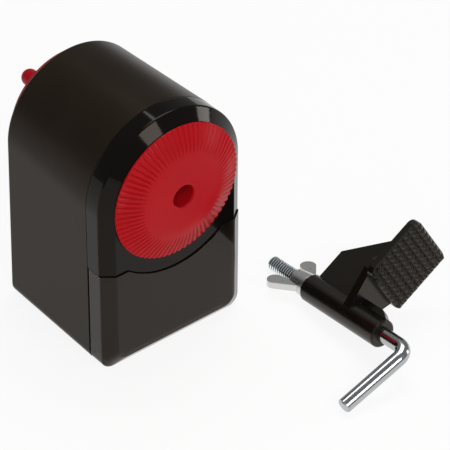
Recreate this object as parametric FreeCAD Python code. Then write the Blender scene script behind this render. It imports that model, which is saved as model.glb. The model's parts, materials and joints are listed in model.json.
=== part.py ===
"""Crank pencil sharpener with its loose table clamp.

Millimetres, +Z up. The front faces -Y, and the origin is on the table under the middle of the housing.
The pencil goes in along +Y through the dial, and the crank turns on the same axis behind the back wall.
Each piece is one node, written to parts/ as a STEP file.
"""
import FreeCAD, Part
import math
import os

V = FreeCAD.Vector
X_DIR = V(1, 0, 0)
Y_DIR = V(0, 1, 0)
FAR = 200.0              # reach of a cutting block, past every piece
NEAR = 1e-4              # places closer than this are the same

# Clearances
RUN_GAP = 0.05           # radial, shaft in bore
END_GAP = 0.25           # along the axis, turning face to fixed face
SPLIT_GAP = 0.3          # bezel to drawer front
SEAM = 0.4               # bezel to shell
DRAWER_GAP = 1.0         # drawer front to shell
FRAME_GAP = 0.3          # inner frame to shell

# Housing
WIDTH = 66.0
BODY_DEPTH = 62.9        # flat front face to back wall
AXIS_Z = 72.2            # pencil axis, and centre of the arch at the parting plane
ARCH_DROP = 0.55         # fall of the arch's centre from the parting plane to the back
BACK_NARROW = 1.9        # each side of the arch, from the parting plane to the back
BASE_NARROW = 0.9        # the same at the base
BASE_TRIM = 0.1          # cut off the underside to make it flat
CORNER_R = 5.0           # lower long edges
FACE_CORNER_R = 5.0      # lower corners of the flat face
WALL = 2.2
BACK_EDGE_R = 1.5
FRONT_DEPTH = 11.05      # parting plane to flat face
BEVEL_ACROSS = 4.9
BEVEL_DEEP = 3.8
BEVEL_EDGE_R = 1.0
SPLIT_Z = 45.5           # lower edge of the bezel
SCOOP_R = 34.8           # scoop in the drawer front, round the pencil axis

# Drawer
DRAWER_PROUD = 0.6       # drawer's face ahead of the bezel's
DRAWER_LIFT = 0.15       # underside above the table
TRAY_TOP_Z = 36.0
TRAY_DEPTH = 36.5        # behind the parting plane
TRAY_WALL = 1.8
TRAY_CORNER_R = 4.2
TRAY_SIDE_GAP = 1.3
TRAY_FLOOR_GAP = 0.4
FLANGE_T = 1.8
RAIL_H = 2.0
RAIL_OVERLAP = 1.2       # how far a rail reaches over the tray's edge
RAIL_GAP = 0.5

# Clamp socket in the side wall
SOCKET_Z = 8.0
SOCKET_DEPTH = 26.0
SOCKET_WALL = 2.2
SOCKET_GAP = 0.1
SOCKET_RIB_T = 2.0

# Inner frame
FRAME_T = 2.5
FRAME_BOTTOM_Z = 40.0
LIP_T = 1.0              # rim ahead of the frame, inside the seam
LIP_L = 1.6
COLLAR_T = 2.0
COLLAR_L = 3.7
FRAME_BOSS_L = 4.0

# Screws
BODY_SCREW_R = 1.25
BODY_SCREW_HEAD_R = 2.5
BODY_SCREW_HEAD_H = 1.8
BODY_SCREW_BITE = 5.0
BODY_SCREW_LOW_Z = 48.0
BODY_SCREW_ANGLE = 45.0  # upper pair, above the horizontal through the axis
SCREW_HOLE_GAP = 0.1
HEAD_GAP = 0.2
COLLAR_GAP = 0.7         # bezel screw head to the ring's collar
BOSS_R = 4.0
BOSS_SINK = 0.9          # boss into the wall beside it
SEAT_T = 2.0
BEZEL_SCREW_R = 1.2
BEZEL_SCREW_HEAD_R = 2.3
BEZEL_SCREW_HEAD_H = 1.6
BEZEL_SCREW_BITE = 6.0
BEZEL_POST_R = 3.2
BEZEL_POST_LOW_Z = 60.0
BEZEL_POST_SIDE = 4.8    # post axis in from the inner wall
SCREW_SLOT_W = 0.8
SCREW_SLOT_D = 0.7

# Dial
DIAL_R = 28.4
DIAL_RISE = 4.3          # flat middle ahead of the rim
DIAL_FLAT_R = 18.0
DIAL_FOLD_R = 25.0       # flat middle into the ribbed slope
DIAL_RIM_T = 0.7
DIAL_WALL = 1.8
DIAL_GAP = 0.3           # rim to bezel face
DIAL_NECK_R = 9.0
PENCIL_HOLE_R = 4.7
PENCIL_LIP_R = 0.9
RIB_COUNT = 72
RIB_GROOVE_IN_W = 0.9
RIB_GROOVE_OUT_W = 1.8
RIB_GROOVE_IN_D = 0.6
RIB_GROOVE_OUT_D = 0.6
RETAINER_T = 1.2
RETAINER_R = 11.5
RETAINER_GROOVE = 0.7
STOP_PIN_R = 1.2
STOP_PIN_AT_R = 15.0
STOP_PIN_ANGLE = 315.0   # at rest, from +X towards +Z
STOP_TRAVEL = 90.0
STOP_GAP = 0.2

# Pencil guide
GUIDE_BORE_R = 5.2
GUIDE_R = 8.2
GUIDE_L = 5.6
GUIDE_FLANGE_R = 12.0
GUIDE_FLANGE_T = 2.4
GUIDE_FUNNEL = 1.4
GUIDE_NECK_GAP = 0.4

# Cutter unit
PENCIL_BORE_R = 5.0
NECK_R = 8.0
NECK_OUT = 0.8           # neck ahead of the inner frame
PLATE_T = 2.5
REAR_PLATE_R = 10.0
REAR_PLATE_T = 3.4
HUB_R = 5.0
HUB_L = 3.5
TROUGH_FRONT_R = 9.0
TROUGH_REAR_R = 5.0
TROUGH_TIP_R = 0.9
TROUGH_DROP = 1.0        # trough's upper edge under the axis
CUTTER_TILT = 11.0
CUTTER_TEETH = 14
CUTTER_TOOTH_D = 0.8
CUTTER_TWIST = 60.0
CUTTER_SLICES = 6
AXLE_R = 2.0
AXLE_INSET = 0.5         # axle end inside the plate's outer face

# Gears
RING_TEETH = 28
PINION_TEETH = 10
PINION_FACE = 6.0
BACKLASH = 0.3
FLANK_ANGLE = 20.0
RING_SHARE = 3.5         # ring's outer radius over the pinion's pitch radius
PLATE_SHARE = 2.5        # carrier plate's radius over the pinion's pitch radius
RING_SKIRT_GAP = 0.6

# Crank
SHAFT_R = 3.0
SHAFT_FLAT = 0.8
WASHER_R = 6.0
WASHER_T = 1.0
BUSH_R = 5.0
BUSH_FLANGE_R = 7.5
BUSH_FLANGE_T = 1.4
BUSH_OUT = 0.6
BUSH_IN = 3.66           # bush ahead of its flange
DISC_R = 26.2
DISC_T = 2.2
DISC_EDGE_R = 0.6
DISC_STANDOFF = 2.15     # back wall to disc
CRANK_HUB_R = 8.0
CRANK_HUB_OUT = 1.4      # hub behind the disc
CRANK_SCREW_R = 1.25
CRANK_SCREW_L = 7.0
CRANK_SCREW_HEAD_R = 3.8
CRANK_SCREW_HEAD_H = 2.2
KNOB_THROW = 17.3
KNOB_ANGLE = 127.3       # at rest, from +X towards +Z
KNOB_BASE_R = 4.3
KNOB_TIP_R = 3.4
KNOB_L = 11.0
KNOB_PIN_R = 1.8
KNOB_PIN_HEAD_R = 3.0
KNOB_PIN_HEAD_T = 0.8
KNOB_PIN_L = 7.8         # behind the disc
KNOB_COLLAR = 0.45
KNOB_COLLAR_T = 1.0

# Clamp, along its rod from the thread's tip
ROD_R = 3.0
ROD_L = 82.4             # tip to the bend's corner
LEG_L = 33.4             # bend's corner to the leg's end
BEND_R = 5.0
ROD_END_EDGE = 0.5
THREAD_L = 30.0
THREAD_PITCH = 1.25
THREAD_CREST = 0.05      # under the plain rod
THREAD_DEPTH = 0.65
SLEEVE_R = 5.65
SLEEVE_START = 23.9
SLEEVE_L = 43.9
SLEEVE_EDGE = 0.6
WEB_T = 4.0
WEB_RISE = 18.3          # height of the web's end above the rod axis
WEB_TOP = 40.2           # height of the web at the pad
WEB_PEAK = 1.0           # level run of the web behind the pad
WEB_INSET = 1.4
FOOT_RISE = 7.6
FOOT_FLAT = 6.0          # foot ahead of the pad
FOOT_END_RISE = 4.4
PAD_W = 26.4
PAD_H = 28.4
PAD_T = 4.0
PAD_LOW = 13.8           # pad's lower edge above the rod axis
PAD_CORNER_R = 3.5
PAD_FACE = 31.5          # pad's face from the sleeve's nut end
PYRAMIDS = 9
PYRAMID_DEPTH = 1.4
NECK_PLATE_T = 3.8
NECK_WIDE = 22.0
NECK_WIDE_AT = 16.0
NECK_TOP = 30.0
NECK_TOP_W = 8.0
NUT_R = 5.2
NUT_NOSE_R = 4.3
NUT_L = 8.0
NUT_GAP = 0.05
WING_T = 2.6
WING_LOBE_R = 3.2
WING_LOBE_OUT = 8.2
WING_LOBE_BACK = 12.0    # lobe's centre back from the sleeve's end
WING_ROOT = 6.4

# Clamp's place on the table
TIP_X = 56.8
TIP_Y = -21.0
CLAMP_YAW = -1.8
CLAMP_PITCH = 7.1
PAD_ANGLE = 29.5         # pad's direction above the horizontal, away from the housing
WING_ANGLE = 4.0         # wings above the horizontal, towards the housing

# Places worked out from the sizes above
HALF = WIDTH / 2
FACE_Y = -BODY_DEPTH / 2
BACK_Y = BODY_DEPTH / 2
PARTING_Y = FACE_Y + FRONT_DEPTH
FRAME_BACK_Y = PARTING_Y + FRAME_T
PLATE_FRONT_Y = FRAME_BACK_Y + END_GAP
PLATE_BACK_Y = PLATE_FRONT_Y + PLATE_T
BOSS_FRONT_Y = FRAME_BACK_Y + FRAME_BOSS_L
SCREW_SEAT_Y = BOSS_FRONT_Y + SEAT_T

# Screw posts stand against the wall, and the ring gear's collar fills the room inside them
POST_AT = HALF - WALL - BEZEL_POST_SIDE
RING_R = POST_AT - BEZEL_SCREW_HEAD_R - COLLAR_GAP - COLLAR_T
PINION_PITCH_R = RING_R / RING_SHARE
PLATE_R = PINION_PITCH_R * PLATE_SHARE
CUTTER_R = PINION_PITCH_R

# Bevel gear pair: both pitch cones share one apex on the pencil axis
GEAR_RATIO = RING_TEETH / PINION_TEETH
TILT = math.radians(CUTTER_TILT)
PINION_CONE = math.atan2(math.sin(TILT), GEAR_RATIO - math.cos(TILT))
CONE_LENGTH = PINION_PITCH_R / math.sin(PINION_CONE)
PINION_MID = CONE_LENGTH * math.cos(PINION_CONE)
RING_MID = CONE_LENGTH * math.cos(PINION_CONE + TILT)
RING_PITCH_R = PINION_PITCH_R * GEAR_RATIO
MODULE = 2 * PINION_PITCH_R / PINION_TEETH
PINION_TIP_R = PINION_PITCH_R + 0.7 * MODULE
PINION_ROOT_R = PINION_PITCH_R - 0.95 * MODULE
RING_TIP_R = RING_PITCH_R - 0.65 * MODULE
RING_ROOT_R = RING_PITCH_R + MODULE
PINION_FRONT = PINION_MID + PINION_FACE / 2
PINION_REAR = PINION_MID - PINION_FACE / 2
PINION_FRONT_TIP_R = PINION_TIP_R * PINION_FRONT / PINION_MID
APEX_Y = PLATE_BACK_Y + END_GAP + PINION_FRONT * math.cos(TILT) + PINION_FRONT_TIP_R * math.sin(TILT)
BUSH_Y = BACK_Y - WALL - BUSH_FLANGE_T - BUSH_IN
WASHER_Y = BUSH_Y - END_GAP - WASHER_T
HUB_Y = WASHER_Y - HUB_L
REAR_PLATE_Y = HUB_Y - REAR_PLATE_T
CUTTER_REAR = (APEX_Y - REAR_PLATE_Y + CUTTER_R * math.sin(TILT) + END_GAP) / math.cos(TILT)
CUTTER_L = PINION_REAR - CUTTER_REAR
DISC_Y = BACK_Y + DISC_STANDOFF
DISC_BACK_Y = DISC_Y + DISC_T
CRANK_HUB_Y = BACK_Y + BUSH_OUT + END_GAP
SHAFT_END_Y = DISC_BACK_Y + CRANK_HUB_OUT
KNOB_X = KNOB_THROW * math.cos(math.radians(KNOB_ANGLE))
KNOB_Z = AXIS_Z + KNOB_THROW * math.sin(math.radians(KNOB_ANGLE))
KNOB_Y = DISC_BACK_Y + END_GAP

# Dial along the axis, front to back
DIAL_BACK_Y = FACE_Y - DIAL_GAP
DIAL_RIM_Y = DIAL_BACK_Y - DIAL_RIM_T
DIAL_FRONT_Y = DIAL_RIM_Y - DIAL_RISE
DIAL_FLOOR_Y = DIAL_FRONT_Y + DIAL_WALL
DIAL_NECK_END_Y = PARTING_Y - GUIDE_L - END_GAP
RETAINER_Y = FACE_Y + WALL + END_GAP

# Screw places as x, z
FRAME_BOSS_R = BOSS_R - BOSS_SINK - FRAME_GAP
UPPER_BOSS_AT = HALF - BACK_NARROW - WALL - BOSS_R + BOSS_SINK
UPPER_BOSS_X = UPPER_BOSS_AT * math.cos(math.radians(BODY_SCREW_ANGLE))
UPPER_BOSS_Z = AXIS_Z + UPPER_BOSS_AT * math.sin(math.radians(BODY_SCREW_ANGLE))
LOWER_BOSS_X = UPPER_BOSS_AT
BODY_SCREW_PLACES = [
    (UPPER_BOSS_X, UPPER_BOSS_Z),
    (-UPPER_BOSS_X, UPPER_BOSS_Z),
    (LOWER_BOSS_X, BODY_SCREW_LOW_Z),
    (-LOWER_BOSS_X, BODY_SCREW_LOW_Z),
]
BEZEL_SCREW_PLACES = [
    (0.0, AXIS_Z + POST_AT),
    (POST_AT, BEZEL_POST_LOW_Z),
    (-POST_AT, BEZEL_POST_LOW_Z),
]

# Clamp socket, behind the drawer
SOCKET_R = ROD_R + SOCKET_GAP
SOCKET_OUT_R = SOCKET_R + SOCKET_WALL
SOCKET_Y = BACK_Y - WALL - SOCKET_OUT_R + BOSS_SINK


def rod_y(radius, y0, y1, x=0.0, z=AXIS_Z):
    """Round bar along Y."""
    return Part.makeCylinder(radius, y1 - y0, V(x, y0, z), Y_DIR)


def rod_x(radius, x0, x1, y=0.0, z=0.0):
    """Round bar along X."""
    return Part.makeCylinder(radius, x1 - x0, V(x0, y, z), X_DIR)


def tube_y(outer, inner, y0, y1, x=0.0, z=AXIS_Z):
    """Round tube along Y."""
    return rod_y(outer, y0, y1, x, z).cut(rod_y(inner, y0, y1, x, z))


def block(x0, x1, y0, y1, z0, z1):
    """Box between two corners."""
    return Part.makeBox(x1 - x0, y1 - y0, z1 - z0, V(x0, y0, z0))


def turned(profile, x=0.0, z=AXIS_Z):
    """Solid of revolution about a line along Y, from corners given as radius and y."""
    points = [V(x + r, y, z) for r, y in profile]
    face = Part.Face(Part.makePolygon(points + points[:1]))
    return face.revolve(V(x, 0, z), Y_DIR, 360)


def prism(points, direction):
    """Flat outline pushed along a direction."""
    return Part.Face(Part.makePolygon(points + points[:1])).extrude(direction)


def skinned(rings):
    """Solid with flat faces through rings of points that match one to one."""
    faces = [Part.Face(Part.makePolygon(ring + ring[:1])) for ring in (rings[0], rings[-1])]
    for low, high in zip(rings, rings[1:]):
        for i in range(len(low)):
            j = (i + 1) % len(low)
            for corners in ([low[i], low[j], high[j]], [low[i], high[j], high[i]]):
                faces.append(Part.Face(Part.makePolygon(corners + corners[:1])))
    solid = Part.Solid(Part.Shell(faces))
    if solid.Volume < 0:
        solid.reverse()
    return solid.removeSplitter()


def fused(shapes):
    """One solid from touching or overlapping shapes."""
    return shapes[0].fuse(shapes[1:]).removeSplitter()


def edges_at_y(shape, y):
    """Edges that lie wholly in the plane at y."""
    boxes = [(edge, edge.BoundBox) for edge in shape.Edges]
    return [edge for edge, box in boxes if abs(box.YMin - y) < NEAR and abs(box.YMax - y) < NEAR]


def low_edges_y(box):
    """Lower edges of a box that run along Y."""
    low_z = box.BoundBox.ZMin + NEAR
    low = [edge for edge in box.Edges if edge.BoundBox.ZMax < low_z]
    return [edge for edge in low if edge.BoundBox.XLength < NEAR]


def arch_wire(y, inset, corner_r, crown_z, narrow=0.0, low_narrow=0.0, trim=0.0):
    """Housing outline at y: flat base with round corners, straight sides and a half-round top."""
    half = HALF - inset - narrow
    low_half = HALF - inset - low_narrow
    base_z = inset - trim
    bulge = corner_r * (1 - math.sqrt(0.5))
    base_l = V(-low_half + corner_r, y, base_z)
    base_r = V(low_half - corner_r, y, base_z)
    side_r = V(low_half, y, base_z + corner_r)
    side_l = V(-low_half, y, base_z + corner_r)
    top_r = V(half, y, crown_z)
    top_l = V(-half, y, crown_z)
    runs = [
        Part.LineSegment(base_l, base_r),
        Part.Arc(base_r, V(low_half - bulge, y, base_z + bulge), side_r),
        Part.LineSegment(side_r, top_r),
        Part.Arc(top_r, V(0, y, crown_z + half), top_l),
        Part.LineSegment(top_l, side_l),
        Part.Arc(side_l, V(-low_half + bulge, y, base_z + bulge), base_l),
    ]
    return Part.Wire([run.toShape() for run in runs])


def shell_form(front_y, back_y, inset, corner_r, trim=0.0):
    """Housing form behind the parting plane, at an inset from the outside."""
    wires = []
    for y in (front_y, back_y):
        share = (y - PARTING_Y) / (BACK_Y - PARTING_Y)
        crown_z = AXIS_Z - ARCH_DROP * share
        wires.append(arch_wire(y, inset, corner_r, crown_z, BACK_NARROW * share, BASE_NARROW * share, trim))
    return Part.makeLoft(wires, True, True)


def front_form(rear_y, face_y, inset):
    """Bevelled form of the bezel or drawer front, at an inset from the outside."""
    side_turn = math.atan2(BEVEL_ACROSS, BEVEL_DEEP)
    face_turn = math.pi / 2 - side_turn
    bevel_y = face_y + BEVEL_DEEP + inset * math.tan(side_turn / 2)
    face_inset = BEVEL_ACROSS + inset * math.tan(face_turn / 2)
    side_r = CORNER_R - inset / 2
    side = [arch_wire(y, inset, side_r, AXIS_Z) for y in (rear_y, bevel_y)]
    bevel = [side[1], arch_wire(face_y + inset, face_inset, FACE_CORNER_R, AXIS_Z)]
    return fused([Part.makeLoft(wires, True, True) for wires in (side, bevel)])


def front_shell(rear_y, face_y):
    """Front form with its bevel's edges rounded, solid and hollowed from the back."""
    outside = front_form(rear_y, face_y, 0.0)
    soft = edges_at_y(outside, face_y) + edges_at_y(outside, face_y + BEVEL_DEEP)
    outside = outside.makeFillet(BEVEL_EDGE_R, soft)
    return outside, outside.cut(front_form(rear_y + WALL, face_y, WALL))


def screw(x, z, head_y, head_r, head_h, shank_r, length):
    """Slotted screw along Y with its head's seat at head_y and its shank running forward."""
    head = rod_y(head_r, head_y, head_y + head_h, x, z)
    half_slot = SCREW_SLOT_W / 2
    slot_floor = head_y + head_h - SCREW_SLOT_D
    slot = block(x - head_r, x + head_r, slot_floor, head_y + head_h, z - half_slot, z + half_slot)
    return fused([head.cut(slot), rod_y(shank_r, head_y - length, head_y, x, z)])


def housing_shell():
    """Arched housing behind the parting plane, with screw bosses, drawer rails and the clamp's socket."""
    outside = shell_form(PARTING_Y, BACK_Y, 0.0, CORNER_R, BASE_TRIM)
    outside = outside.makeFillet(BACK_EDGE_R, edges_at_y(outside, BACK_Y))
    outside = outside.cut(block(-FAR, FAR, -FAR, FAR, -FAR, 0))
    inside = shell_form(PARTING_Y - WALL, BACK_Y - WALL, WALL, CORNER_R - WALL / 2)
    inner_back = BACK_Y - WALL / 2
    adds = [rod_y(BOSS_R, BOSS_FRONT_Y, inner_back, x, z) for x, z in BODY_SCREW_PLACES]
    rail_z = TRAY_TOP_Z + RAIL_GAP
    rail_in = HALF - WALL - TRAY_SIDE_GAP - RAIL_OVERLAP
    rail_end = PARTING_Y + TRAY_DEPTH
    for side in (-1, 1):
        x0, x1 = sorted((side * rail_in, side * (HALF - WALL / 2)))
        adds.append(block(x0, x1, FRAME_BACK_Y, rail_end, rail_z, rail_z + RAIL_H))
    socket_in = HALF - SOCKET_DEPTH - SOCKET_WALL
    socket_floor = HALF - SOCKET_DEPTH
    adds.append(rod_x(SOCKET_OUT_R, socket_in, HALF - WALL / 2, SOCKET_Y, SOCKET_Z))
    rib_y0 = SOCKET_Y - SOCKET_RIB_T / 2
    adds.append(block(socket_in, HALF - WALL / 2, rib_y0, rib_y0 + SOCKET_RIB_T, WALL / 2, SOCKET_Z))
    body = fused([outside.cut(inside)] + [part.common(outside) for part in adds])
    cuts = [rod_y(BUSH_R, BACK_Y - 2 * WALL, BACK_Y + WALL)]
    cuts.append(rod_x(SOCKET_R, socket_floor, HALF + WALL, SOCKET_Y, SOCKET_Z))
    for x, z in BODY_SCREW_PLACES:
        cuts.append(rod_y(BODY_SCREW_HEAD_R + HEAD_GAP, SCREW_SEAT_Y, BACK_Y + WALL, x, z))
        cuts.append(rod_y(BODY_SCREW_R + SCREW_HOLE_GAP, BOSS_FRONT_Y - WALL, SCREW_SEAT_Y, x, z))
    return body.cut(cuts)


def upper_region(grow):
    """Space of the bezel: above its lower edge and inside the scoop's round, grown by a gap."""
    above = block(-FAR, FAR, -FAR, FAR, SPLIT_Z - grow, FAR)
    return fused([above, rod_y(SCOOP_R + grow, -FAR, FAR)])


def stop_slot():
    """Curved slot in the bezel face that the dial's stop pin travels in."""
    reach = STOP_PIN_R + STOP_GAP
    slack = math.degrees(STOP_GAP / STOP_PIN_AT_R)
    y0 = FACE_Y - WALL
    y1 = FACE_Y + 2 * WALL
    first = math.radians(STOP_PIN_ANGLE + slack)
    sweep = STOP_TRAVEL + 2 * slack
    ends = []
    for angle in (first, first - math.radians(sweep)):
        x = STOP_PIN_AT_R * math.cos(angle)
        z = AXIS_Z + STOP_PIN_AT_R * math.sin(angle)
        ends.append(rod_y(reach, y0, y1, x, z))
    inner = STOP_PIN_AT_R - reach
    outer = STOP_PIN_AT_R + reach
    section = [V(inner, y0, AXIS_Z), V(outer, y0, AXIS_Z), V(outer, y1, AXIS_Z), V(inner, y1, AXIS_Z)]
    arc = Part.Face(Part.makePolygon(section + section[:1])).revolve(V(0, 0, AXIS_Z), Y_DIR, sweep)
    arc.rotate(V(0, 0, AXIS_Z), Y_DIR, -math.degrees(first))
    return fused([arc] + ends)


def front_bezel():
    """Bevelled upper front with the dial's bearing hole and screw posts."""
    outside, hollow = front_shell(PARTING_Y - SEAM, FACE_Y)
    posts = [rod_y(BEZEL_POST_R, FACE_Y + WALL / 2, PARTING_Y - SEAM, x, z) for x, z in BEZEL_SCREW_PLACES]
    body = fused([hollow] + [post.common(outside) for post in posts])
    tips = [rod_y(BEZEL_POST_R, PARTING_Y - WALL, PARTING_Y, x, z) for x, z in BEZEL_SCREW_PLACES]
    body = fused([body.common(upper_region(0.0))] + tips)
    cuts = [rod_y(DIAL_NECK_R + RUN_GAP, FACE_Y - WALL, FACE_Y + 2 * WALL), stop_slot()]
    for x, z in BEZEL_SCREW_PLACES:
        cuts.append(rod_y(BEZEL_SCREW_R, PARTING_Y - BEZEL_SCREW_BITE, PARTING_Y + WALL, x, z))
    return body.cut(cuts)


def shavings_drawer():
    """Lower front and shavings tray in one see-through moulding."""
    rear_y = PARTING_Y - DRAWER_GAP
    outside, hollow = front_shell(rear_y, FACE_Y - DRAWER_PROUD)
    flange_y = rear_y - FLANGE_T
    tray_half = HALF - WALL - TRAY_SIDE_GAP
    tray_floor = WALL + TRAY_FLOOR_GAP
    tray_back = PARTING_Y + TRAY_DEPTH
    flange = block(-HALF, HALF, flange_y, rear_y, 0, TRAY_TOP_Z).common(outside)
    tray = block(-tray_half, tray_half, flange_y, tray_back, tray_floor, TRAY_TOP_Z)
    tray = tray.makeFillet(TRAY_CORNER_R, low_edges_y(tray))
    inner_half = tray_half - TRAY_WALL
    cavity_back = tray_back - TRAY_WALL
    cavity_floor = tray_floor + TRAY_WALL
    cavity = block(-inner_half, inner_half, FACE_Y + 2 * WALL, cavity_back, cavity_floor, FAR)
    cavity = cavity.makeFillet(TRAY_CORNER_R - TRAY_WALL, low_edges_y(cavity))
    body = fused([hollow, flange, tray.cut(cavity)]).cut(cavity)
    body = body.cut(upper_region(SPLIT_GAP))
    return body.cut(block(-FAR, FAR, -FAR, FAR, -FAR, DRAWER_LIFT))


def inner_frame():
    """Plate behind the parting plane that carries the cutter unit, the ring gear and the bezel."""
    inset = WALL + FRAME_GAP
    share = FRAME_T / (BACK_Y - PARTING_Y)
    crown_z = AXIS_Z - ARCH_DROP * share
    plate = Part.Face(arch_wire(PARTING_Y, inset, CORNER_R, crown_z, BACK_NARROW * share))
    plate = plate.extrude(V(0, FRAME_T, 0))
    rings = [arch_wire(PARTING_Y, inset + t, CORNER_R, crown_z, BACK_NARROW * share) for t in (0.0, LIP_T)]
    lip, room = [Part.Face(ring).extrude(V(0, -LIP_L, 0)) for ring in rings]
    plate = fused([plate, lip.cut(room)]).cut(block(-FAR, FAR, -FAR, FAR, -FAR, FRAME_BOTTOM_Z))
    collar = tube_y(RING_R + COLLAR_T, RING_R, FRAME_BACK_Y, FRAME_BACK_Y + COLLAR_L)
    bosses = [rod_y(FRAME_BOSS_R, FRAME_BACK_Y, BOSS_FRONT_Y, x, z) for x, z in BODY_SCREW_PLACES]
    body = fused([plate, collar] + bosses)
    cuts = [rod_y(NECK_R + RUN_GAP, PARTING_Y - WALL, FRAME_BACK_Y + WALL)]
    for x, z in BODY_SCREW_PLACES:
        cuts.append(rod_y(BODY_SCREW_R, BOSS_FRONT_Y - BODY_SCREW_BITE, BOSS_FRONT_Y + WALL, x, z))
    for x, z in BEZEL_SCREW_PLACES:
        cuts.append(rod_y(BEZEL_SCREW_R + SCREW_HOLE_GAP, PARTING_Y - WALL, FRAME_BACK_Y + WALL, x, z))
    return body.cut(cuts)


def pencil_guide():
    """Funnel on the inner frame that leads the pencil from the dial into the cutter unit."""
    front = PARTING_Y - GUIDE_L
    flange = PARTING_Y - GUIDE_FLANGE_T
    neck_room = NECK_R + GUIDE_NECK_GAP
    neck_end = PARTING_Y - NECK_OUT - GUIDE_NECK_GAP
    return turned([
        (GUIDE_BORE_R + GUIDE_FUNNEL, front), (GUIDE_R, front),
        (GUIDE_R, flange), (GUIDE_FLANGE_R, flange),
        (GUIDE_FLANGE_R, PARTING_Y), (neck_room, PARTING_Y),
        (neck_room, neck_end), (GUIDE_BORE_R, neck_end), (GUIDE_BORE_R, front + GUIDE_FUNNEL),
    ])


def body_screws():
    """Long-reach screws that hold the inner frame to the shell's bosses."""
    length = SEAT_T + BODY_SCREW_BITE
    sizes = (BODY_SCREW_HEAD_R, BODY_SCREW_HEAD_H, BODY_SCREW_R, length)
    return Part.makeCompound([screw(x, z, SCREW_SEAT_Y, *sizes) for x, z in BODY_SCREW_PLACES])


def bezel_screws():
    """Screws that hold the bezel to the inner frame from behind."""
    length = FRAME_T + BEZEL_SCREW_BITE
    sizes = (BEZEL_SCREW_HEAD_R, BEZEL_SCREW_HEAD_H, BEZEL_SCREW_R, length)
    return Part.makeCompound([screw(x, z, FRAME_BACK_Y, *sizes) for x, z in BEZEL_SCREW_PLACES])


def gear_outline(teeth, pitch_r, tip_r, root_r, thickness):
    """Corners of a gear with straight flanks as radius and angle, one tooth at the top."""
    flank = math.tan(math.radians(FLANK_ANGLE))
    tip_half = (thickness / 2 - (tip_r - pitch_r) * flank) / tip_r
    root_half = (thickness / 2 + (pitch_r - root_r) * flank) / root_r
    corners = []
    for i in range(teeth):
        middle = math.pi / 2 + 2 * math.pi * i / teeth
        corners += [(root_r, middle - root_half), (tip_r, middle - tip_half)]
        corners += [(tip_r, middle + tip_half), (root_r, middle + root_half)]
    return corners


def polar_ring(corners, y, scale=1.0, turn=0.0):
    """Points in the plane at y from corners given as radius and angle."""
    points = []
    for r, angle in corners:
        points.append(V(scale * r * math.cos(angle + turn), y, AXIS_Z + scale * r * math.sin(angle + turn)))
    return points


def tilted(shape):
    """Shape built on the pencil axis, tilted about the gears' apex onto the cutter's axis."""
    shape.rotate(V(0, APEX_Y, AXIS_Z), X_DIR, -CUTTER_TILT)
    return shape


def axle_bar(radius, front, rear):
    """Round bar on the cutter's axis, between two distances from the apex."""
    return tilted(rod_y(radius, APEX_Y - front, APEX_Y - rear))


def ring_gear():
    """Fixed internal bevel gear in the inner frame's collar."""
    space = math.pi * MODULE / 2 + BACKLASH
    corners = gear_outline(RING_TEETH, RING_PITCH_R, RING_ROOT_R, RING_TIP_R, space)
    teeth_y = APEX_Y - PINION_FRONT * math.cos(TILT) - END_GAP
    back_y = APEX_Y - PINION_REAR * math.cos(TILT) + END_GAP
    ends = (teeth_y, back_y + WALL)
    teeth_room = skinned([polar_ring(corners, y, (APEX_Y - y) / RING_MID) for y in ends])
    skirt_room = rod_y(PLATE_R + RING_SKIRT_GAP, FRAME_BACK_Y - WALL, teeth_y + WALL)
    return rod_y(RING_R, FRAME_BACK_Y, back_y).cut([teeth_room, skirt_room])


def cutter_pinion():
    """Bevel pinion on the cutter's front end, in mesh with the ring gear."""
    thickness = math.pi * MODULE / 2 - BACKLASH
    corners = gear_outline(PINION_TEETH, PINION_PITCH_R, PINION_TIP_R, PINION_ROOT_R, thickness)
    rings = [polar_ring(corners, APEX_Y - d, d / PINION_MID) for d in (PINION_FRONT, PINION_REAR)]
    return tilted(skinned(rings)).cut(axle_bar(AXLE_R + RUN_GAP, PINION_FRONT + 1, PINION_REAR - 1))


def helical_cutter():
    """Milling cutter with helical teeth on the tilted axle."""
    root_r = CUTTER_R - CUTTER_TOOTH_D
    step = math.pi / CUTTER_TEETH
    corners = [((root_r, CUTTER_R)[i % 2], i * step) for i in range(2 * CUTTER_TEETH)]
    rings = []
    for i in range(CUTTER_SLICES + 1):
        share = i / CUTTER_SLICES
        y = APEX_Y - PINION_REAR + share * CUTTER_L
        rings.append(polar_ring(corners, y, 1.0, math.radians(share * CUTTER_TWIST)))
    body = tilted(skinned(rings))
    return body.cut(axle_bar(AXLE_R + RUN_GAP, PINION_REAR + 1, CUTTER_REAR - 1))


def axle_span():
    """Front and rear ends of the cutter's axle, as distances from the apex."""
    front = (APEX_Y - PLATE_FRONT_Y - AXLE_INSET) / math.cos(TILT) - AXLE_R * math.tan(TILT)
    rear = (APEX_Y - HUB_Y + AXLE_INSET) / math.cos(TILT) + AXLE_R * math.tan(TILT)
    return front, rear


def cutter_axle():
    """Steel pin that the cutter turns on, fixed in both plates of the carrier."""
    return axle_bar(AXLE_R, *axle_span())


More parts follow.
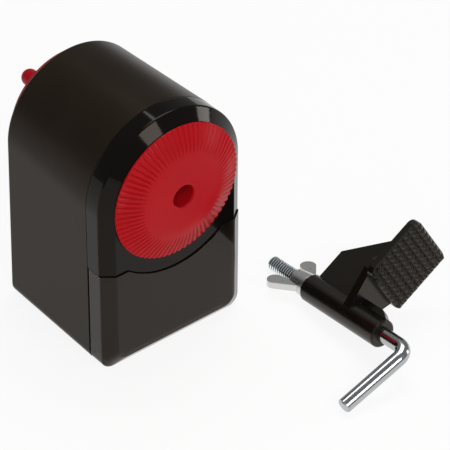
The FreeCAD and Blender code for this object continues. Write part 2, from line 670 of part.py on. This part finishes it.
def cutter_carrier():
    """Turning carrier: neck, front plate, pencil trough, rear plate and shaft hub."""
    neck = rod_y(NECK_R, PARTING_Y - NECK_OUT, PLATE_BACK_Y)
    plate = rod_y(PLATE_R, PLATE_FRONT_Y, PLATE_BACK_Y)
    rear = rod_y(REAR_PLATE_R, REAR_PLATE_Y, HUB_Y)
    hub = rod_y(HUB_R, HUB_Y, WASHER_Y)
    trough = turned([
        (PENCIL_BORE_R, PLATE_BACK_Y), (TROUGH_FRONT_R, PLATE_BACK_Y),
        (TROUGH_REAR_R, REAR_PLATE_Y), (TROUGH_TIP_R, REAR_PLATE_Y),
    ])
    trough = trough.cut(block(-FAR, FAR, -FAR, FAR, AXIS_Z - TROUGH_DROP, FAR))
    body = fused([neck, plate, trough, rear, hub])
    cuts = [
        rod_y(PENCIL_BORE_R, PARTING_Y - 2 * NECK_OUT, PLATE_BACK_Y),
        rod_y(SHAFT_R, HUB_Y, WASHER_Y + 1),
        axle_bar(AXLE_R, *axle_span()),
    ]
    return body.cut(cuts)


def crank_shaft():
    """Steel shaft from the carrier's hub to the crank, with a flat for the crank and a tapped end."""
    bar = rod_y(SHAFT_R, HUB_Y, SHAFT_END_Y)
    flat = block(-FAR, FAR, CRANK_HUB_Y, SHAFT_END_Y, AXIS_Z + SHAFT_R - SHAFT_FLAT, FAR)
    return bar.cut([flat, rod_y(CRANK_SCREW_R, SHAFT_END_Y - CRANK_SCREW_L, SHAFT_END_Y)])


def thrust_washer():
    """Washer on the shaft between the hub and the bush."""
    return tube_y(WASHER_R, SHAFT_R, WASHER_Y, WASHER_Y + WASHER_T)


def rear_bush():
    """Flanged bearing bush in the back wall."""
    inner_wall = BACK_Y - WALL
    body = fused([
        rod_y(BUSH_R, BUSH_Y, BACK_Y + BUSH_OUT),
        rod_y(BUSH_FLANGE_R, inner_wall - BUSH_FLANGE_T, inner_wall),
    ])
    return body.cut(rod_y(SHAFT_R + RUN_GAP, BUSH_Y - 1, BACK_Y + BUSH_OUT + 1))


def crank_disc():
    """Round crank on the shaft's flat, with a boss for the knob's pin."""
    disc = rod_y(DISC_R, DISC_Y, DISC_BACK_Y)
    rims = edges_at_y(disc, DISC_Y) + edges_at_y(disc, DISC_BACK_Y)
    disc = disc.makeFillet(DISC_EDGE_R, rims)
    body = fused([disc, rod_y(CRANK_HUB_R, CRANK_HUB_Y, SHAFT_END_Y)])
    shaft_hole = rod_y(SHAFT_R, CRANK_HUB_Y, SHAFT_END_Y)
    shaft_hole = shaft_hole.cut(block(-FAR, FAR, -FAR, FAR, AXIS_Z + SHAFT_R - SHAFT_FLAT, FAR))
    return body.cut([shaft_hole, rod_y(KNOB_PIN_R, DISC_Y, DISC_BACK_Y, KNOB_X, KNOB_Z)])


def crank_screw():
    """Screw in the shaft's end that holds the crank."""
    sizes = (CRANK_SCREW_HEAD_R, CRANK_SCREW_HEAD_H, CRANK_SCREW_R, CRANK_SCREW_L)
    return screw(0.0, AXIS_Z, SHAFT_END_Y, *sizes)


def knob_pin():
    """Rivet through the crank with a snap collar that the knob turns on."""
    head = DISC_Y - KNOB_PIN_HEAD_T
    end = DISC_BACK_Y + KNOB_PIN_L
    collar_y = end - KNOB_COLLAR_T
    return turned([
        (0, head), (KNOB_PIN_HEAD_R, head), (KNOB_PIN_HEAD_R, DISC_Y), (KNOB_PIN_R, DISC_Y),
        (KNOB_PIN_R, collar_y), (KNOB_PIN_R + KNOB_COLLAR, collar_y), (KNOB_PIN_R, end), (0, end),
    ], KNOB_X, KNOB_Z)


def crank_knob():
    """Tapered knob with a domed end, hollow for the pin and its collar."""
    dome_y = KNOB_Y + KNOB_L - KNOB_TIP_R
    outside = fused([
        turned([(0, KNOB_Y), (KNOB_BASE_R, KNOB_Y), (KNOB_TIP_R, dome_y), (0, dome_y)], KNOB_X, KNOB_Z),
        Part.makeSphere(KNOB_TIP_R, V(KNOB_X, dome_y, KNOB_Z)),
    ])
    pin_end = DISC_BACK_Y + KNOB_PIN_L
    bore = KNOB_PIN_R + RUN_GAP
    groove = KNOB_PIN_R + KNOB_COLLAR + RUN_GAP
    room = turned([
        (0, KNOB_Y), (bore, KNOB_Y), (bore, pin_end - KNOB_COLLAR_T - END_GAP),
        (groove, pin_end - KNOB_COLLAR_T - END_GAP), (groove, pin_end + END_GAP), (0, pin_end + END_GAP),
    ], KNOB_X, KNOB_Z)
    return outside.cut(room)


def rib_groove(angle):
    """Tapered groove between two ribs of the dial, deeper and wider towards the rim."""
    slope = DIAL_RISE / (DIAL_R - DIAL_FLAT_R)
    rings = []
    for r, width, depth in (
        (DIAL_FLAT_R, RIB_GROOVE_IN_W, RIB_GROOVE_IN_D),
        (DIAL_R + 1, RIB_GROOVE_OUT_W, RIB_GROOVE_OUT_D),
    ):
        y = DIAL_FRONT_Y + slope * (r - DIAL_FLAT_R)
        mouth = [V(r, y - depth, AXIS_Z + side * width) for side in (-1, 1)]
        rings.append(mouth + [V(r, y + depth, AXIS_Z)])
    groove = skinned(rings)
    groove.rotate(V(0, 0, AXIS_Z), Y_DIR, angle)
    return groove


def selector_dial():
    """Ribbed dial with the pencil hole, its neck in the bezel and its stop pin."""
    groove_r = DIAL_NECK_R - RETAINER_GROOVE
    inner_r = DIAL_FLAT_R - DIAL_WALL / 2
    groove_end = RETAINER_Y + RETAINER_T
    body = turned([
        (PENCIL_HOLE_R, DIAL_FRONT_Y), (DIAL_FLAT_R, DIAL_FRONT_Y), (DIAL_R, DIAL_RIM_Y),
        (DIAL_R, DIAL_BACK_Y), (DIAL_R - DIAL_WALL, DIAL_BACK_Y), (inner_r, DIAL_FLOOR_Y),
        (DIAL_NECK_R, DIAL_FLOOR_Y), (DIAL_NECK_R, RETAINER_Y), (groove_r, RETAINER_Y),
        (groove_r, groove_end), (DIAL_NECK_R, groove_end), (DIAL_NECK_R, DIAL_NECK_END_Y),
        (PENCIL_HOLE_R, DIAL_NECK_END_Y),
    ])
    fold = [e for e in edges_at_y(body, DIAL_FRONT_Y) if e.BoundBox.XMax > DIAL_NECK_R]
    body = body.makeFillet(DIAL_FOLD_R, fold)
    mouth = [e for e in edges_at_y(body, DIAL_FRONT_Y) if e.BoundBox.XMax < DIAL_NECK_R]
    body = body.makeFillet(PENCIL_LIP_R, mouth)
    body = body.cut([rib_groove(360.0 * i / RIB_COUNT) for i in range(RIB_COUNT)])
    angle = math.radians(STOP_PIN_ANGLE)
    x = STOP_PIN_AT_R * math.cos(angle)
    z = AXIS_Z + STOP_PIN_AT_R * math.sin(angle)
    return fused([body, rod_y(STOP_PIN_R, DIAL_FLOOR_Y - DIAL_WALL / 2, FACE_Y + WALL, x, z)])


def dial_retainer():
    """Snap ring in the groove of the dial's neck, behind the bezel face."""
    return tube_y(RETAINER_R, DIAL_NECK_R - RETAINER_GROOVE, RETAINER_Y, RETAINER_Y + RETAINER_T)


def clamp_frame():
    """Matrix from the clamp's own frame to the table: X along the rod from its tip, Z towards the pad.

    The thread's tip and the leg's end lie on the table.
    """
    yaw = math.radians(CLAMP_YAW)
    pitch = math.radians(CLAMP_PITCH)
    pad = math.radians(PAD_ANGLE)
    along = V(math.sin(yaw) * math.cos(pitch), -math.cos(yaw) * math.cos(pitch), math.sin(pitch))
    outward = V(math.cos(yaw), math.sin(yaw), 0)
    upward = outward.cross(along) * -1
    radial = outward * math.cos(pad) + upward * math.sin(pad)
    third = radial.cross(along)
    tip_z = (ROD_R - THREAD_CREST) * math.cos(pitch)
    return FreeCAD.Matrix(
        along.x, third.x, radial.x, TIP_X,
        along.y, third.y, radial.y, TIP_Y,
        along.z, third.z, radial.z, tip_z,
        0, 0, 0, 1,
    )


def leg_turn():
    """Turn of the leg about the rod, from the pad's direction, that brings its end down to the table."""
    pitch = math.radians(CLAMP_PITCH)
    corner_z = (ROD_R - THREAD_CREST) * math.cos(pitch) + ROD_L * math.sin(pitch)
    dip = math.asin(corner_z / math.hypot(LEG_L, ROD_R)) - math.atan2(ROD_R, LEG_L)
    below = math.degrees(math.asin(math.sin(dip) / math.cos(pitch)))
    return 180.0 - PAD_ANGLE + below


def placed(shape):
    """Clamp piece moved from its own frame to its place on the table."""
    return shape.transformed(clamp_frame())


def clamp_rod():
    """Bent rod: threaded end, straight shank, bend and leg."""
    crest = ROD_R - THREAD_CREST
    root = crest - THREAD_DEPTH
    outline = [V(0, 0, 0), V(0, 0, root)]
    for i in range(int(THREAD_L / THREAD_PITCH)):
        outline.append(V((i + 0.5) * THREAD_PITCH, 0, crest))
        outline.append(V((i + 1) * THREAD_PITCH, 0, root))
    thread_end = int(THREAD_L / THREAD_PITCH) * THREAD_PITCH
    outline.append(V(thread_end, 0, 0))
    thread = Part.Face(Part.makePolygon(outline + outline[:1])).revolve(V(0, 0, 0), X_DIR, 360)
    shank = rod_x(ROD_R, thread_end, ROD_L - BEND_R)
    section = Part.Face(Part.Wire(Part.Circle(V(ROD_L - BEND_R, 0, 0), X_DIR, ROD_R).toShape()))
    bend = section.revolve(V(ROD_L - BEND_R, 0, BEND_R), V(0, -1, 0), 90)
    leg = Part.makeCylinder(ROD_R, LEG_L - BEND_R, V(ROD_L, 0, BEND_R), V(0, 0, 1))
    end = [e for e in leg.Edges if e.BoundBox.ZMin > LEG_L - NEAR]
    leg = leg.makeChamfer(ROD_END_EDGE, end)
    rod = fused([thread, shank, bend, leg])
    rod.rotate(V(0, 0, 0), X_DIR, leg_turn())
    return placed(rod)


def pyramid_grooves(face_x):
    """Crossed V grooves that leave rows of pyramids on the pad's face."""
    grooves = []
    for span, low, along_z in ((PAD_W, -PAD_W / 2, False), (PAD_H, PAD_LOW, True)):
        pitch = span / PYRAMIDS
        for i in range(PYRAMIDS + 1):
            at = low + i * pitch
            points = []
            for offset, depth in ((-pitch / 2, 0.0), (0.0, PYRAMID_DEPTH), (pitch / 2, 0.0)):
                x = face_x - depth
                points.append(V(x, -FAR, at + offset) if along_z else V(x, at + offset, -FAR))
            direction = V(0, 2 * FAR, 0) if along_z else V(0, 0, 2 * FAR)
            grooves.append(prism(points, direction))
    return grooves


def clamp_bracket():
    """Sleeve on the rod with a web and a pyramid-faced pad."""
    sleeve_end = SLEEVE_START + SLEEVE_L
    face_x = SLEEVE_START + PAD_FACE
    back_x = face_x - PAD_T
    sleeve = rod_x(SLEEVE_R, SLEEVE_START, sleeve_end)
    sleeve = sleeve.makeChamfer(SLEEVE_EDGE, [e for e in sleeve.Edges if e.BoundBox.XLength < NEAR])
    web_start = SLEEVE_START + WEB_INSET
    foot_end = sleeve_end - SLEEVE_EDGE
    side = [
        (web_start, 0), (web_start, WEB_RISE), (back_x - WEB_PEAK, WEB_TOP), (back_x, WEB_TOP),
        (back_x, FOOT_RISE), (face_x + FOOT_FLAT, FOOT_RISE), (foot_end, FOOT_END_RISE), (foot_end, 0),
    ]
    web = prism([V(x, -WEB_T / 2, z) for x, z in side], V(0, WEB_T, 0))
    pad = block(back_x, face_x, -PAD_W / 2, PAD_W / 2, PAD_LOW, PAD_LOW + PAD_H)
    corners = [e for e in pad.Edges if e.BoundBox.XLength > PAD_T / 2]
    pad = pad.makeFillet(PAD_CORNER_R, corners).cut(pyramid_grooves(face_x))
    wide = NECK_WIDE / 2
    half = [(SLEEVE_R, 0), (wide, NECK_WIDE_AT), (wide, NECK_WIDE_AT + PAD_T), (NECK_TOP_W / 2, NECK_TOP)]
    outline = half + [(-y, z) for y, z in reversed(half)]
    neck = prism([V(back_x - NECK_PLATE_T, y, z) for y, z in outline], V(NECK_PLATE_T, 0, 0))
    body = fused([sleeve, web, neck, pad])
    bore = rod_x(ROD_R + RUN_GAP, SLEEVE_START - 1, sleeve_end + 1)
    return placed(body.cut(bore))


def wing_nut():
    """Wing nut on the thread, against the sleeve's end."""
    face = SLEEVE_START - NUT_GAP
    nose = face - NUT_L
    collar = Part.makeCone(NUT_NOSE_R, NUT_R, NUT_L, V(nose, 0, 0), X_DIR)
    lobe_x = SLEEVE_START - WING_LOBE_BACK
    root = face - (NUT_L - WING_ROOT) / 2
    reach = math.hypot(root - lobe_x, WING_LOBE_OUT)
    lean_x = WING_LOBE_OUT / reach * WING_LOBE_R
    lean_z = (root - lobe_x) / reach * WING_LOBE_R
    outline = [
        (root, NUT_NOSE_R - 1), (lobe_x + lean_x, WING_LOBE_OUT + lean_z),
        (lobe_x - lean_x, WING_LOBE_OUT - lean_z), (root - WING_ROOT, NUT_NOSE_R - 1),
    ]
    pieces = [collar]
    for side in (1, -1):
        plate = prism([V(x, -WING_T / 2, side * z) for x, z in outline], V(0, WING_T, 0))
        lobe = Part.makeCylinder(WING_LOBE_R, WING_T, V(lobe_x, -WING_T / 2, side * WING_LOBE_OUT), Y_DIR)
        pieces += [plate, lobe]
    nut = fused(pieces).cut(rod_x(ROD_R, nose - 1, face + 1))
    nut.rotate(V(0, 0, 0), X_DIR, 180.0 - PAD_ANGLE - WING_ANGLE)
    return placed(nut)


NODES = [
    housing_shell, front_bezel, inner_frame, pencil_guide, ring_gear, rear_bush, body_screws, bezel_screws,
    crank_shaft, cutter_carrier, cutter_axle, thrust_washer, crank_disc, crank_screw, knob_pin, crank_knob,
    helical_cutter, cutter_pinion, selector_dial, dial_retainer, shavings_drawer,
    clamp_rod, clamp_bracket, wing_nut,
]


def main():
    """Build every node and write it to its own file."""
    os.makedirs("parts", exist_ok=True)
    for node in NODES:
        shape = node()
        shape.exportStep(os.path.join("parts", node.__name__ + ".step"))
        print(node.__name__, len(shape.Solids), shape.isValid(), round(shape.Volume, 1))


if __name__ == "__main__":
    main()
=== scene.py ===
"""Studio scene of a crank pencil sharpener with its loose table clamp."""
import json
import logging
import math
from dataclasses import dataclass
from enum import Enum
from typing import Any, Dict, List, Optional, Tuple

import bpy
from mathutils import Matrix, Vector


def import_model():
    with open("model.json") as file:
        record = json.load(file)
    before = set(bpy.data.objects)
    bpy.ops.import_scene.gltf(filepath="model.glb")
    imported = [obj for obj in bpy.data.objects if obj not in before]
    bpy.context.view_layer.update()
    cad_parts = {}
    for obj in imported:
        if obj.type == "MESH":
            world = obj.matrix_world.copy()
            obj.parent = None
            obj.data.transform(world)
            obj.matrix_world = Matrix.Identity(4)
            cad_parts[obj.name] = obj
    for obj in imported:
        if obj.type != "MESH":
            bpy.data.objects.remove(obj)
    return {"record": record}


LOG = logging.getLogger("sharpener")
MM = 0.001
Colour = Tuple[float, float, float, float]
Point = Tuple[float, float, float]
WHITE: Colour = (1.0, 1.0, 1.0, 1.0)

# Sockets of a Mix node that blends two colours.
FACTOR, FIRST, SECOND, RESULT = 0, 6, 7, 2


def linear(hex_value: str) -> Colour:
    """Turn an sRGB hex value into a linear colour.

    Args:
        hex_value: six hex digits.

    Returns:
        Red, green, blue and alpha.
    """
    parts = [int(hex_value[i:i + 2], 16) / 255 for i in (0, 2, 4)]
    parts = [c / 12.92 if c <= 0.04045 else ((c + 0.055) / 1.055) ** 2.4 for c in parts]
    return (parts[0], parts[1], parts[2], 1.0)


def add_node(tree: bpy.types.NodeTree, kind: str, inputs: Optional[Dict[Any, Any]] = None,
             **settings: Any) -> Any:
    """Add a node, set its properties, and set or link its inputs.

    Args:
        tree: node tree that gets the node.
        kind: the node's type name.
        inputs: input name or index to a value, or to the output socket that feeds it.
        settings: properties of the node.

    Returns:
        The new node.
    """
    node = tree.nodes.new(kind)
    for name, value in settings.items():
        setattr(node, name, value)
    for key, value in (inputs or {}).items():
        if isinstance(value, bpy.types.NodeSocket):
            tree.links.new(value, node.inputs[key])
        else:
            node.inputs[key].default_value = value
    return node


@dataclass(frozen=True)
class PlatedEndWithPaintedLight:
    """Blue zinc plating on the threaded end of the clamp's rod.

    The thread is only a few pixels wide, so painted shade darkens its grooves and a painted highlight
    brightens its crests.
    """

    tip: Vector
    axis: Vector
    length_mm: float = 30.0
    crest_mm: float = 2.75
    root_mm: float = 2.45
    # Crest colour: the pale plating brightened as a painted highlight. Groove colour: painted shade.
    colour: str = "EEF6FA"
    groove_shade: str = "10171C"

    @classmethod
    def under_nut(cls, record: Dict[str, Any], joint: str) -> "PlatedEndWithPaintedLight":
        """Find the thread by the joint of the nut that turns on it.

        Args:
            record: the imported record.
            joint: name of the nut's joint.

        Returns:
            The plating of that thread.
        """
        turn = next(j for j in record["behaviour"]["joints"] if j["name"] == joint)
        return cls(Vector(turn["pos_m"]), Vector(turn["axis"]))

    def tint(self, tree: bpy.types.NodeTree, place: Any, colour: Any) -> Any:
        """Mix the plating's colour in along the thread, with painted shade in the grooves and a painted
        highlight on the crests.

        Args:
            tree: node tree of the rod's material.
            place: socket with Object coordinates.
            colour: socket with the plain rod's colour.

        Returns:
            Socket with the mixed colour.
        """
        along = add_node(
            tree, "ShaderNodeVectorMath", {0: place, 1: self.axis}, operation="DOT_PRODUCT").outputs["Value"]
        limit = self.axis.dot(self.tip) + self.length_mm * MM
        share = add_node(tree, "ShaderNodeMath", {0: along, 1: limit}, operation="LESS_THAN").outputs[0]
        offset = add_node(
            tree, "ShaderNodeVectorMath", {0: place, 1: self.tip}, operation="SUBTRACT").outputs[0]
        across = add_node(
            tree, "ShaderNodeVectorMath", {0: offset, 1: self.axis}, operation="CROSS_PRODUCT").outputs[0]
        radius = add_node(tree, "ShaderNodeVectorMath", {0: across}, operation="LENGTH").outputs["Value"]
        # Painted light: from the grooves' painted shade at the root to the crests' painted highlight.
        painted_light_share = add_node(tree, "ShaderNodeMapRange", {
            "Value": radius, "From Min": self.root_mm * MM, "From Max": self.crest_mm * MM}).outputs[0]
        plating = add_node(tree, "ShaderNodeMix", {
            FACTOR: painted_light_share, FIRST: linear(self.groove_shade), SECOND: linear(self.colour)},
            data_type="RGBA").outputs[RESULT]
        return add_node(tree, "ShaderNodeMix", {
            FACTOR: share, FIRST: colour, SECOND: plating}, data_type="RGBA").outputs[RESULT]


@dataclass(frozen=True)
class Finish:
    """A moulded, plated or turned surface: its colours, gloss and surface relief.

    The grain shapes gloss and relief. The drift is the broad change of colour that moulding and handling
    leave.
    """

    name: str
    colour: str
    second: str
    roughness: float
    spread: float = 0.06
    metallic: float = 0.0
    ior: float = 1.5
    transmission: float = 0.0
    specular: float = 0.5
    specular_tint: str = "FFFFFF"
    edge_mm: float = 0.25
    edge_samples: int = 4
    grain_mm: float = 0.8
    grain_detail: float = 3.0
    relief_mm: float = 0.01
    relief_strength: float = 0.5
    drift_mm: float = 20.0
    drift_detail: float = 2.0
    smoothest: float = 0.02
    stretch: Tuple[float, float, float] = (1.0, 1.0, 1.0)

    def build(self, plated: Optional[PlatedEndWithPaintedLight] = None) -> bpy.types.Material:
        """Make the material.

        Args:
            plated: the part of a rod that has another plating, with painted shade and highlight on its
                thread, if any.

        Returns:
            The node material.
        """
        material = bpy.data.materials.new(self.name)
        material.use_nodes = True
        tree = material.node_tree
        tree.nodes.clear()
        place = add_node(tree, "ShaderNodeTexCoord").outputs["Object"]
        turned = add_node(tree, "ShaderNodeMapping", {"Vector": place, "Scale": self.stretch}).outputs[0]
        grain = add_node(tree, "ShaderNodeTexNoise", {
            "Vector": turned, "Scale": 1 / (self.grain_mm * MM), "Detail": self.grain_detail}).outputs["Fac"]
        drift = add_node(tree, "ShaderNodeTexNoise", {
            "Vector": place, "Scale": 1 / (self.drift_mm * MM), "Detail": self.drift_detail}).outputs["Fac"]
        colour = add_node(tree, "ShaderNodeMix", {
            FACTOR: drift, FIRST: linear(self.colour), SECOND: linear(self.second)},
            data_type="RGBA").outputs[RESULT]
        if plated:
            colour = plated.tint(tree, place, colour)
        gloss = add_node(tree, "ShaderNodeMapRange", {
            "Value": grain, "To Min": max(self.smoothest, self.roughness - self.spread),
            "To Max": self.roughness + self.spread}).outputs[0]
        soft_edge = add_node(
            tree, "ShaderNodeBevel", {"Radius": self.edge_mm * MM}, samples=self.edge_samples).outputs[0]
        bump = add_node(tree, "ShaderNodeBump", {
            "Height": grain, "Distance": self.relief_mm * MM, "Strength": self.relief_strength,
            "Normal": soft_edge}).outputs[0]
        shader = add_node(tree, "ShaderNodeBsdfPrincipled", {
            "Base Color": colour, "Roughness": gloss, "Normal": bump, "Metallic": self.metallic,
            "IOR": self.ior, "Transmission Weight": self.transmission,
            "Specular IOR Level": self.specular, "Specular Tint": linear(self.specular_tint)})
        add_node(tree, "ShaderNodeOutputMaterial", {"Surface": shader.outputs[0]})
        return material


class Stock(Enum):
    """Finishes of the sharpener's pieces."""

    # Spark-eroded mould: an even satin with a soft wide highlight.
    SATIN_ABS = Finish(
        "satin_moulded_abs", "1E1813", "241E18", 0.32, 0.06, specular=0.1, specular_tint="FFDDB8",
        grain_mm=0.5, relief_mm=0.012)
    # Polished mould: mirror-like, with slight waves where the wall cools.
    GLOSS_ABS = Finish(
        "polished_moulded_abs", "0A0807", "0F0C0B", 0.07, 0.03, specular=0.15, specular_tint="FFF0E0",
        grain_mm=6.0, relief_mm=0.02)
    # Glass-filled nylon: nearly black, with a dull gloss.
    BLACK_NYLON = Finish(
        "black_moulded_nylon", "0C0A08", "120F0D", 0.26, 0.05, specular=0.45, specular_tint="FFF0E0",
        edge_mm=0.06, grain_mm=0.7, relief_mm=0.004)
    # Pigmented red: deep even colour with little surface glare.
    RED_ABS = Finish("red_moulded_abs", "AE1019", "A40C15", 0.3, 0.05, specular=0.1, grain_mm=1.2)
    # Smoke-tinted styrene: dark by its depth, lighter where a wall is seen on edge. The plastic's own index
    # is 1.59; a lower one keeps the table's mirror image in the front as weak as on the real drawer.
    SMOKE_STYRENE = Finish(
        "smoke_tinted_polystyrene", "362E28", "3C332C", 0.06, 0.02, ior=1.36, transmission=0.85,
        specular=0.08, specular_tint="FFF0E0", grain_mm=6.0)
    # Grey polypropylene: dull, slightly waxy.
    GREY_PP = Finish("grey_polypropylene", "8A8A88", "7E7E7C", 0.5, 0.08, ior=1.49)
    # Bright chrome over drawn wire: faint lines along the rod's stem.
    CHROME = Finish(
        "bright_chrome_plating", "BABCBE", "AEB0B2", 0.15, 0.04, 1.0, edge_mm=0.06, grain_mm=1.0,
        stretch=(1, 0.1, 1))
    # Tumbled zinc casting: bright, with soft dents.
    CAST_ZINC = Finish(
        "plated_zinc_casting", "DCDCD9", "D0D0CE", 0.3, 0.08, 1.0, grain_mm=1.5, relief_mm=0.05)
    # Ground tool steel: grey, with a fine broken sheen.
    TOOL_STEEL = Finish("ground_tool_steel", "A8A8A6", "949494", 0.3, 0.1, 1.0, grain_mm=0.6)
    # Sintered steel: dark, dull and slightly porous.
    GEAR_STEEL = Finish(
        "sintered_gear_steel", "8E8C88", "7C7A77", 0.5, 0.1, 1.0, grain_mm=0.4, relief_mm=0.03)
    # Die-cast aluminium: pale, with a soft mottled sheen.
    ALLOY = Finish("die_cast_aluminium", "BDBEC0", "ADAEB0", 0.42, 0.1, 1.0, grain_mm=0.8, relief_mm=0.03)
    # Turned brass: warm, with fine turning marks.
    BRASS = Finish("turned_brass", "C9A45A", "BC9850", 0.28, 0.08, 1.0, grain_mm=0.5, stretch=(1, 8, 1))
    # Zinc-plated steel: pale and slightly cool.
    SCREW_STEEL = Finish("zinc_plated_steel", "C4C6C8", "B4B7BA", 0.3, 0.1, 1.0, grain_mm=0.8)


@dataclass
class Assembly:
    """A group of CAD pieces and the finish that each one gets."""

    name: str
    finishes: Dict[str, Stock]
    plated: Optional[Dict[str, PlatedEndWithPaintedLight]] = None

    def dress(self, library: Dict[str, bpy.types.Material]) -> None:
        """Give each piece its material.

        Args:
            library: materials made so far, by name.
        """
        for node, stock in self.finishes.items():
            end = (self.plated or {}).get(node)
            key = stock.value.name + ("_" + node if end else "")
            if key not in library:
                library[key] = stock.value.build(end)
            piece = bpy.data.objects[node]
            piece.data.materials.clear()
            piece.data.materials.append(library[key])
            LOG.info("%s: %s in %s", self.name, node, key)


@dataclass(frozen=True)
class Softbox:
    """A rectangular studio lamp: its place and aim in metres, width and height in metres, and power in watts.

    Polished surfaces show it only if it is mirrored.
    """

    name: str
    at: Point
    aim: Point
    size: Tuple[float, float]
    watts: float
    mirrored: bool = True

    def build(self) -> None:
        """Hang the lamp and turn it to the point that it faces."""
        data = bpy.data.lights.new(self.name, "AREA")
        data.shape = "RECTANGLE"
        data.size, data.size_y = self.size
        data.energy = self.watts
        lamp = bpy.data.objects.new(self.name, data)
        bpy.context.collection.objects.link(lamp)
        lamp.location = self.at
        lamp.visible_glossy = self.mirrored
        lamp.rotation_euler = (Vector(self.aim) - Vector(self.at)).to_track_quat("-Z", "Y").to_euler()


@dataclass
class Studio:
    """Pale table, soft lights and the camera.

    The white share is how far the table shows as plain white. The rest of it takes light and shadow.
    """

    floor_m: float = 60.0
    floor_colour: str = "F4F4F3"
    white_share: float = 0.88
    surround: float = 0.25
    softboxes: Tuple[Softbox, ...] = (
        Softbox("overhead_softbox", (0.35, 0.3, 1.1), (0, 0, 0.06), (0.8, 0.6), 6.0),
        Softbox("front_softbox", (0.145, -1.03, 0.67), (0, -0.03, 0.09), (0.36, 0.42), 2.9),
        Softbox("right_softbox", (1.07, -0.52, 0.26), (0, -0.03, 0.09), (0.2, 0.36), 1.6),
        Softbox("bounced_fill", (-0.6, -1.0, 0.9), (0, 0, 0.05), (0.9, 0.9), 7.6, mirrored=False),
    )
    azimuth: float = -39.3811
    elevation: float = 37.9871
    roll: float = 0.4293
    camera_at: Point = (-0.5583, -0.7405, 0.7606)
    focal_px: float = 3084.76
    picture_px: float = 450.0
    sensor_mm: float = 36.0

    def build(self) -> None:
        """Make the floor, the world, the lights and the camera."""
        self.floor()
        self.world()
        for softbox in self.softboxes:
            softbox.build()
        self.camera()

    def floor(self) -> None:
        """Lay the table, white to the camera, in mirror images and through clear walls."""
        bpy.ops.object.select_all(action="DESELECT")
        bpy.ops.mesh.primitive_plane_add(size=self.floor_m)
        plane = bpy.context.object
        plane.name = "table"
        material = bpy.data.materials.new("matt_paper_sweep")
        material.use_nodes = True
        tree = material.node_tree
        tree.nodes.clear()
        paper = add_node(tree, "ShaderNodeBsdfDiffuse", {"Color": linear(self.floor_colour)}).outputs[0]
        glow = add_node(tree, "ShaderNodeEmission", {"Color": WHITE, "Strength": 1.0}).outputs[0]
        path = add_node(tree, "ShaderNodeLightPath").outputs
        seen = path["Is Camera Ray"]
        for kind in ("Is Glossy Ray", "Is Transmission Ray"):
            seen = add_node(tree, "ShaderNodeMath", {0: seen, 1: path[kind]}, operation="MAXIMUM").outputs[0]
        share = add_node(
            tree, "ShaderNodeMath", {0: seen, 1: self.white_share}, operation="MULTIPLY").outputs[0]
        mixed = add_node(tree, "ShaderNodeMixShader", {0: share, 1: paper, 2: glow}).outputs[0]
        add_node(tree, "ShaderNodeOutputMaterial", {"Surface": mixed})
        plane.data.materials.append(material)

    def world(self) -> None:
        """Set an even grey surround."""
        world = bpy.data.worlds.new("studio")
        bpy.context.scene.world = world
        world.use_nodes = True
        tree = world.node_tree
        tree.nodes.clear()
        back = add_node(tree, "ShaderNodeBackground", {"Color": WHITE, "Strength": self.surround})
        add_node(tree, "ShaderNodeOutputWorld", {"Surface": back.outputs[0]})

    def camera(self) -> None:
        """Stand the camera at the picture's angle."""
        a, e, r = (math.radians(v) for v in (self.azimuth, self.elevation, self.roll))
        back = Vector((math.sin(a) * math.cos(e), -math.cos(a) * math.cos(e), math.sin(e)))
        right = Vector((math.cos(a), math.sin(a), 0))
        up = back.cross(right)
        side = right * math.cos(r) + up * math.sin(r)
        top = up * math.cos(r) - right * math.sin(r)
        data = bpy.data.cameras.new("camera")
        data.sensor_width = self.sensor_mm
        data.lens = self.sensor_mm * self.focal_px / self.picture_px
        camera = bpy.data.objects.new("camera", data)
        bpy.context.collection.objects.link(camera)
        turn = Matrix((side, top, back)).transposed().to_4x4()
        camera.matrix_world = Matrix.Translation(self.camera_at) @ turn
        bpy.context.scene.camera = camera


def assemblies(record: Dict[str, Any]) -> List[Assembly]:
    """Group the sharpener's pieces with their finishes.

    Args:
        record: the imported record.

    Returns:
        The groups, in the order in which they are dressed.
    """
    return [
        Assembly("housing", {
            "housing_shell": Stock.SATIN_ABS, "front_bezel": Stock.GLOSS_ABS,
            # The inner frame is dressed black, not the grey it has in the record, so that the seam in front
            # of it shows dark: painted shade.
            "inner_frame": Stock.BLACK_NYLON, "pencil_guide": Stock.GREY_PP,
            "ring_gear": Stock.GEAR_STEEL, "rear_bush": Stock.BRASS,
            "body_screws": Stock.SCREW_STEEL, "bezel_screws": Stock.SCREW_STEEL}),
        Assembly("crank", {
            "crank_shaft": Stock.TOOL_STEEL, "cutter_carrier": Stock.ALLOY, "cutter_axle": Stock.TOOL_STEEL,
            "thrust_washer": Stock.SCREW_STEEL, "crank_disc": Stock.RED_ABS, "crank_screw": Stock.SCREW_STEEL,
            "knob_pin": Stock.SCREW_STEEL, "crank_knob": Stock.RED_ABS, "helical_cutter": Stock.TOOL_STEEL,
            "cutter_pinion": Stock.GEAR_STEEL}),
        Assembly("front", {
            "selector_dial": Stock.RED_ABS, "dial_retainer": Stock.GREY_PP,
            "shavings_drawer": Stock.SMOKE_STYRENE}),
        Assembly("clamp", {
            "clamp_rod": Stock.CHROME, "clamp_bracket": Stock.BLACK_NYLON, "wing_nut": Stock.CAST_ZINC},
            {"clamp_rod": PlatedEndWithPaintedLight.under_nut(record, "wing_nut_turn")}),
    ]


def main() -> None:
    """Load the frame, dress its pieces and set the studio."""
    logging.basicConfig(level=logging.INFO)
    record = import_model()["record"]
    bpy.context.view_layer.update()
    library: Dict[str, bpy.types.Material] = {}
    for assembly in assemblies(record):
        assembly.dress(library)
    Studio().build()
    bpy.context.scene.view_settings.view_transform = "Standard"


if __name__ == "__main__":
    main()
